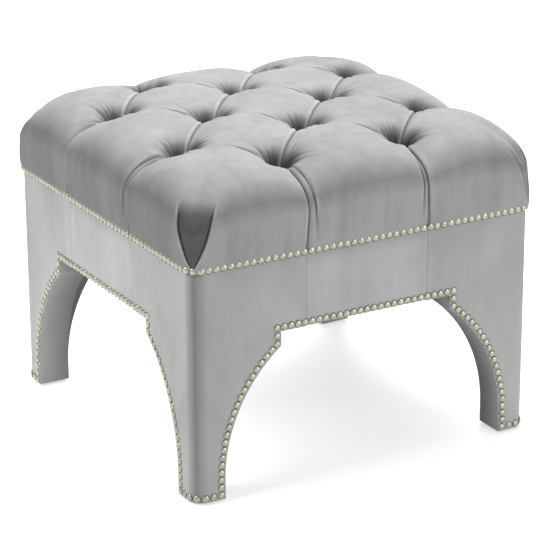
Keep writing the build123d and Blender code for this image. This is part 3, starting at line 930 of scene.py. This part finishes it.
def make_buttons():
    """The covered buttons at the foot of the pits: a low dome with a tucked rim and a few gathers."""
    rings = [(0.90, 0.2), (1.0, 1.0), (0.98, 1.9), (0.90, 2.9)]
    rings += [(0.76, 3.9), (0.58, 4.8), (0.36, 5.5), (0.15, 5.9)]
    points = []
    faces = []
    for column, row in tufts:
        faces += dome_faces(len(points), len(rings), button_around)
        for share, rise in rings:
            for step in range(button_around):
                turn = 2 * math.pi * step / button_around
                spread = share * button_radius * (1 + 0.015 * share**4 * math.cos(8 * turn))
                x = column * pitch + spread * math.cos(turn)
                y = row * pitch + spread * math.sin(turn)
                points.append((x, y, button_seat + rise))
        points.append((column * pitch, row * pitch, button_seat + button_height))
    return new_piece("tuft_button_heads", points, faces)


cushion = make_cushion()
place(cushion, seat_velvet, "velvet", "seat_cover", "seat_wadding", "seat_foam")
place(make_buttons(), seat_velvet, "velvet", "tuft_buttons")


# Velvet on the base

def extruded(outline, low, high, axes):
    """A closed prism: a flat outline in two axes, extruded along the third."""
    verts = []
    for level in (low, high):
        for first, second in outline:
            point = [0.0, 0.0, 0.0]
            point[axes[0]] = first
            point[axes[1]] = second
            point[axes[2]] = level
            verts.append(point)
    count = len(outline)
    faces = [list(range(count))[::-1], list(range(count, 2 * count))]
    for place_at in range(count):
        after = (place_at + 1) % count
        faces.append([place_at, after, count + after, count + place_at])
    piece = new_piece("prism", verts, faces, smooth=False)
    face_outwards(piece)
    return piece


def combine(piece, other, operation):
    """Joins two solids into the first, and removes the second."""
    cut = piece.modifiers.new("cut", "BOOLEAN")
    cut.operation = operation
    cut.solver = "EXACT"
    cut.object = other
    apply_modifiers(piece)
    bpy.data.objects.remove(other)


def wing_outline():
    """Outline of a leg's wing on the front face, from its seam round the arch to the corner."""
    first = math.acos(step_half / arch_radius)
    arc = [
        (-arch_radius * math.cos(turn), arch_centre + arch_radius * math.sin(turn))
        for turn in np.linspace(first, 0.0, 40)
    ]
    outline = [(-seam_half, rail_top), (-seam_half, apron_edge), (-step_half, apron_edge)] + arc
    outline += [(-arch_radius, foot_level), (-half, foot_level), (-half, rail_top)]
    return outline


def is_worn_edge(edge):
    """Whether an edge of a leg is a sharp outer one, away from its top and its seams."""
    if len(edge.link_faces) != 2 or edge.calc_face_angle() < math.radians(35.0):
        return False
    if min(vert.co.z for vert in edge.verts) > (rail_top - 1.0) * mm:
        return False
    for axis in (0, 1):
        if all(vert.co[axis] > -(seam_half + 0.1) * mm for vert in edge.verts):
            return False
    return edge.is_convex


def is_open_face(face):
    """Whether a face of a leg closes its top or a seam, where the skin is open."""
    middle = face.calc_center_median() / mm
    return middle.z > rail_top - 0.5 or middle.x > -seam_half - 0.05 or middle.y > -seam_half - 0.05


def leg_skin(name):
    """The velvet skin of one leg with its two wings, front left."""
    leg = extruded(wing_outline(), -half, -arch_radius, (0, 2, 1))
    other = extruded(wing_outline(), -half, -arch_radius, (1, 2, 0))
    combine(leg, other, "UNION")
    bend = [
        (-corner_centre - base_corner * math.cos(turn), -corner_centre - base_corner * math.sin(turn))
        for turn in np.linspace(0.0, math.pi / 2, 15)
    ]
    column = extruded(bend + [(0.0, -half), (0.0, 0.0), (-half, 0.0)], -10.0, 400.0, (0, 1, 2))
    combine(leg, column, "INTERSECT")
    work = bmesh.new()
    work.from_mesh(leg.data)
    bmesh.ops.dissolve_limit(work, angle_limit=math.radians(0.5), verts=work.verts, edges=work.edges)
    worn = [edge for edge in work.edges if is_worn_edge(edge)]
    bmesh.ops.bevel(
        work, geom=worn, offset=skin_edge * mm, segments=4, profile=0.5, affect="EDGES", clamp_overlap=True
    )
    bmesh.ops.delete(work, geom=[face for face in work.faces if is_open_face(face)], context="FACES")
    bmesh.ops.recalc_face_normals(work, faces=work.faces)
    work.to_mesh(leg.data)
    work.free()
    leg.name = name
    return leg


def apron_skin(name):
    """The velvet skin of an apron: down its face, round its edge and up inside."""
    bend_level = apron_edge + skin_edge
    outer = -half + skin_edge
    inner = -arch_radius - skin_edge
    turns = np.linspace(0.0, math.pi / 2, 5)
    profile = [(-half, level) for level in np.linspace(rail_top, bend_level, 24)]
    for turn in turns[1:]:
        profile.append((outer - skin_edge * math.cos(turn), bend_level - skin_edge * math.sin(turn)))
    profile += [(reach, apron_edge) for reach in np.linspace(-half + 10.0, -arch_radius - 10.0, 6)]
    for turn in turns:
        profile.append((inner + skin_edge * math.sin(turn), bend_level - skin_edge * math.cos(turn)))
    profile += [(-arch_radius, level) for level in np.linspace(apron_edge + 10.0, inner_wrap_top, 6)]
    left_seam = np.linspace(-seam_half, -seam_half + 3.0, 5)
    right_seam = np.linspace(seam_half - 3.0, seam_half, 5)
    across = np.concatenate([left_seam, np.linspace(-90.0, 90.0, 37), right_seam])
    verts = []
    for reach, level in profile:
        for where in across:
            dip = seam_dip * math.exp(-(((seam_half - abs(where)) / 1.8) ** 2))
            verts.append((where, reach + (dip if reach < -half + 1.0 else 0.0), level))
    count = len(across)
    faces = []
    for row in range(len(profile) - 1):
        for column in range(count - 1):
            corner = row * count + column
            faces.append((corner, corner + count, corner + count + 1, corner + 1))
    return new_piece(name, verts, faces)


def lined(piece):
    """Gives an open skin its thickness, inwards, and even shading over its flat faces."""
    wall = piece.modifiers.new("wall", "SOLIDIFY")
    wall.thickness = skin_thickness * mm
    wall.offset = -1.0
    wall.use_even_offset = True
    piece.data.shade_smooth()
    shade = piece.modifiers.new("shade", "WEIGHTED_NORMAL")
    shade.keep_sharp = False
    apply_modifiers(piece)


def shade_skin(piece):
    """Paints shade on a base skin's inner faces and a shadow just under the nails, and a highlight along
    its rounded edges.
    """
    places = np.zeros(3 * len(piece.data.vertices))
    piece.data.vertices.foreach_get("co", places)
    places = places.reshape(-1, 3)
    flat = np.abs(places[:, :2]) / mm
    over = flat - corner_centre
    at_corner = (over > 0).all(axis=1)
    inward = np.where(at_corner, base_corner - np.hypot(over[:, 0], over[:, 1]), half - flat.max(axis=1))
    under_nails = under_nails_shadow_strength * ramp(places[:, 2] / mm, 322.0, 344.0)
    dark = np.maximum(inner_shade_strength * ramp(inward, 2.0, 3.4), under_nails)
    set_values(piece, "painted_shade_amount", dark)
    set_values(piece, "painted_highlight_amount", edge_highlight_strength * bell(inward - 1.2, 1.0))


def turned_copy(piece, name, quarters):
    """A copy of a piece turned about the stool's middle by quarters of a turn."""
    mesh = piece.data.copy()
    mesh.name = name
    mesh.transform(Matrix.Rotation(quarters * math.pi / 2, 4, "Z"))
    copy = bpy.data.objects.new(name, mesh)
    scene.collection.objects.link(copy)
    return copy


def cover_base(first, part, names):
    """Finishes a skin, repeats it round the stool and places all four."""
    lined(first)
    shade_skin(first)
    pieces = [first]
    for quarters in range(1, len(names)):
        pieces.append(turned_copy(first, f"{part}_velvet_{names[quarters]}", quarters))
    for piece, name in zip(pieces, names):
        place(piece, base_velvet, "velvet", f"{part}_cover_{name}")
    return pieces


cover_base(leg_skin("leg_velvet_front_left"), "leg", corners)
apron_pieces = cover_base(apron_skin("apron_velvet_front"), "apron", sides)


# Nails

def islands(work):
    """The points of each loose part of a mesh."""
    left = set(work.verts)
    for seed in work.verts:
        if seed not in left:
            continue
        left.remove(seed)
        cloud = []
        queue = [seed]
        while queue:
            vert = queue.pop()
            cloud.append(vert.co / mm)
            for edge in vert.link_edges:
                other = edge.other_vert(vert)
                if other in left:
                    left.remove(other)
                    queue.append(other)
        yield np.array(cloud)


def nail_places(node):
    """Where each nail of a node stands: the middle of its head's foot, and its way out."""
    work = bmesh.new()
    work.from_mesh(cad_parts[node].data)
    bmesh.ops.remove_doubles(work, verts=work.verts, dist=1e-5)
    found = []
    for cloud in islands(work):
        middle = cloud.mean(0)
        if abs(middle[0]) > corner_centre and abs(middle[1]) > corner_centre:
            out = np.append(middle[:2] - np.copysign(corner_centre, middle[:2]), 0.0)
        elif abs(middle[0]) > abs(middle[1]):
            out = np.array([math.copysign(1.0, middle[0]), 0.0, 0.0])
        else:
            out = np.array([0.0, math.copysign(1.0, middle[1]), 0.0])
        out = out / np.linalg.norm(out)
        reach = (cloud @ out).max() - nail_head_height
        found.append((middle + (reach - middle @ out) * out, out))
    work.free()
    return found


def nail_heads(name, node, chance):
    """Pressed domed heads with a rolled rim, one for each nail of a node."""
    rings = [(1.0, -0.35), (1.035, 0.12), (1.0, 0.5), (0.9, 1.0)]
    rings += [(0.76, 1.55), (0.58, 2.08), (0.38, 2.46), (0.18, 2.66)]
    verts = []
    faces = []
    grime = []
    for foot, out in nail_places(node):
        out = unit(out + chance.normal(0.0, nail_tilt, 3))
        side = unit(np.cross(out, (0.0, 0.0, 1.0)))
        upward = np.cross(side, out)
        faces += dome_faces(len(verts), len(rings), nail_around)
        for share, rise in rings:
            spread = share * nail_head_radius * nail_growth
            for step in range(nail_around):
                turn = 2 * math.pi * step / nail_around
                around = math.cos(turn) * side + math.sin(turn) * upward
                verts.append(foot + spread * around + rise * out)
            # Darker towards the rim: grime, and painted shade where the head meets the cloth
            grime += [1.0 - 0.95 * ramp(rise, 0.2, 1.5)] * nail_around
        verts.append(foot + nail_head_height * out)
        grime.append(0.0)
    piece = new_piece(name, verts, faces)
    face_outwards(piece)
    set_values(piece, "rim_shade_and_grime", grime)
    return piece


nail_chance = np.random.RandomState(5)
for side in sides:
    for row in ("seat", "edge"):
        heads = nail_heads(f"{row}_nail_heads_{side}", f"{row}_nails_{side}", nail_chance)
        place(heads, nail_metal, "nail_metal", f"{row}_nails_{side}")


# Under the stool

def dust_sheet():
    """The dust cover: a cross of thin cloth, stretched under the frame with a little sag."""
    inner = arch_radius - slip
    tab_half = step_half - dust_tab_margin
    tab_end = arch_radius + dust_tab_reach
    steps = np.array([-tab_end])
    stops = (-tab_end, -inner, -tab_half, tab_half, inner, tab_end)
    for low, high, count in zip(stops[:-1], stops[1:], (5, 13, 37, 13, 5)):
        steps = np.concatenate([steps, np.linspace(low, high, count)[1:]])
    verts = []
    numbers = {}
    faces = []

    def droop(way):
        return math.cos(min(abs(way) / inner, 1.0) * math.pi / 2)

    def pucker(along, across):
        fading = math.exp(-(inner - min(abs(across), inner)) / dust_pucker_reach)
        return dust_pucker * math.sin(along / dust_pucker_pitch) * fading

    def number(column, row):
        if (column, row) not in numbers:
            x = steps[column]
            y = steps[row]
            on_tab = max(abs(x), abs(y)) > inner - 1.0
            pull = 0.0 if on_tab else abs(pucker(x, y) + pucker(y, x))
            numbers[column, row] = len(verts)
            verts.append((x, y, dust_bottom - dust_gap - dust_sag * droop(x) * droop(y) - pull))
        return numbers[column, row]

    for column in range(len(steps) - 1):
        for row in range(len(steps) - 1):
            x = abs(steps[column] + steps[column + 1]) / 2
            y = abs(steps[row] + steps[row + 1]) / 2
            if max(x, y) > inner and min(x, y) > tab_half:
                continue
            square = ((column, row), (column + 1, row), (column + 1, row + 1), (column, row + 1))
            faces.append([number(*corner) for corner in square])
    piece = new_piece("dust_cloth", verts, faces)
    wall = piece.modifiers.new("wall", "SOLIDIFY")
    wall.thickness = dust_cloth * mm
    wall.offset = 1.0
    apply_modifiers(piece)
    area = 4 * (inner**2 + 2 * tab_half * (tab_end - inner)) * mm**2
    return piece, 2 * tab_end * mm, area


dust_cloth_piece, dust_width, dust_area = dust_sheet()
place(dust_cloth_piece, cambric_material(), "cambric", "dust_cover")


# Finishes of the pieces that stay as built

pine_dark = (0.44, 0.27, 0.12)
pine_light = (0.70, 0.50, 0.28)
pine = [wood_material(f"pine_{axis}", pine_dark, pine_light, number) for number, axis in enumerate("xyz")]
dowel_wood = wood_material("dowel_wood", (0.50, 0.34, 0.19), (0.68, 0.50, 0.32), 0)
plywood = wood_material("plywood", (0.50, 0.34, 0.18), (0.66, 0.48, 0.28), 0)
screw_steel = plain_material("screw_steel", (0.45, 0.42, 0.36), (0.62, 0.59, 0.52), 300.0, 0.35, 1.0)
washer_steel = plain_material("washer_steel", (0.40, 0.41, 0.42), (0.58, 0.59, 0.60), 240.0, 0.40, 1.0)
staple_wire = plain_material("staple_wire", (0.50, 0.50, 0.50), (0.70, 0.70, 0.70), 500.0, 0.30, 1.0)
twine = plain_material("twine", (0.42, 0.36, 0.27), (0.66, 0.60, 0.48), 900.0, 0.88, 0.0, 0.0006)
glide_nylon = plain_material("glide_nylon", (0.020, 0.020, 0.021), (0.045, 0.045, 0.047), 350.0, 0.52)

finishes = {
    "deck_panel": plywood,
    "rail_dowels": dowel_wood,
    "deck_screws": screw_steel,
    "corner_block_screws": screw_steel,
    "bracket_screws": screw_steel,
    "tuft_twines": twine,
    "twine_washers": washer_steel,
    "dust_cover_staples": staple_wire,
}
for side in sides:
    lying = pine[0] if side in ("front", "back") else pine[1]
    finishes[f"rail_{side}"] = lying
    finishes[f"bracket_{side}_left"] = lying
    finishes[f"bracket_{side}_right"] = lying
for corner in corners:
    finishes[f"post_{corner}"] = pine[2]
    finishes[f"corner_block_{corner}"] = pine[0]
    finishes[f"glide_{corner}"] = glide_nylon
for node, finish in finishes.items():
    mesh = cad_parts[node].data
    mesh.materials.clear()
    mesh.materials.append(finish)


# Floor, light and camera

def chosen(tree, lighting, shown):
    """One shader for the light on the stool, another for what the camera, metal and glass see."""
    ray = tree.nodes.new("ShaderNodeLightPath").outputs
    seen = ray["Is Camera Ray"]
    for kind in ("Is Glossy Ray", "Is Transmission Ray"):
        seen = add_node(tree, "ShaderNodeMath", {0: seen, 1: ray[kind]}, operation="MAXIMUM").outputs[0]
    return add_node(tree, "ShaderNodeMixShader", {0: seen, 1: lighting, 2: shown}).outputs[0]


def make_floor():
    """A plain pale floor that keeps the stool's shadow and looks white round it."""
    ends = np.array([(-1, -1, 0), (1, -1, 0), (1, 1, 0), (-1, 1, 0)])
    floor = new_piece("floor", ends * floor_size, [(0, 1, 2, 3)], smooth=False)
    paint, tree, shader = new_material("floor_paint")
    connect(tree, shader, {"Base Color": floor_colour, "Roughness": 0.9, "Specular IOR Level": 0.0})
    plain = shader.outputs[0]
    glow = add_node(tree, "ShaderNodeEmission", {"Strength": floor_glow}).outputs[0]
    both = add_node(tree, "ShaderNodeAddShader", {0: plain, 1: glow}).outputs[0]
    connect(tree, tree.nodes["Material Output"], {"Surface": chosen(tree, plain, both)})
    floor.data.materials.append(paint)
    return floor


def light_room():
    """Soft even light from all round, and plain white where the room itself is seen."""
    world = bpy.data.worlds.new("studio")
    scene.world = world
    world.use_nodes = True
    tree = world.node_tree
    room = tree.nodes["Background"]
    connect(tree, room, {"Color": white, "Strength": room_strength})
    backdrop = add_node(tree, "ShaderNodeBackground", {"Color": white, "Strength": 1.0})
    surface = chosen(tree, room.outputs[0], backdrop.outputs[0])
    connect(tree, tree.nodes["World Output"], {"Surface": surface})


def area_lamp(name, at, power, size):
    """A square lamp that points at the stool."""
    lamp = bpy.data.lights.new(name, "AREA")
    lamp.energy = power
    lamp.size = size * mm
    piece = bpy.data.objects.new(name, lamp)
    scene.collection.objects.link(piece)
    piece.location = Vector(at) * mm
    piece.rotation_euler = (Vector(lamp_aim) - Vector(at)).to_track_quat("-Z", "Y").to_euler()


floor = make_floor()
light_room()
for lamp in lamps:
    area_lamp(*lamp)

camera_up = (-camera_forward).cross(camera_sideways).normalized()
camera_right = camera_up.cross(-camera_forward)
camera_data = bpy.data.cameras.new("camera")
camera_data.sensor_width = 36.0
camera_data.lens = focal_pixels / frame_pixels * camera_data.sensor_width
camera = bpy.data.objects.new("camera", camera_data)
scene.collection.objects.link(camera)
axes = Matrix((camera_right, camera_up, -camera_forward)).transposed()
camera.matrix_world = Matrix.Translation(camera_at) @ axes.to_4x4()
scene.camera = camera

bpy.context.view_layer.update()
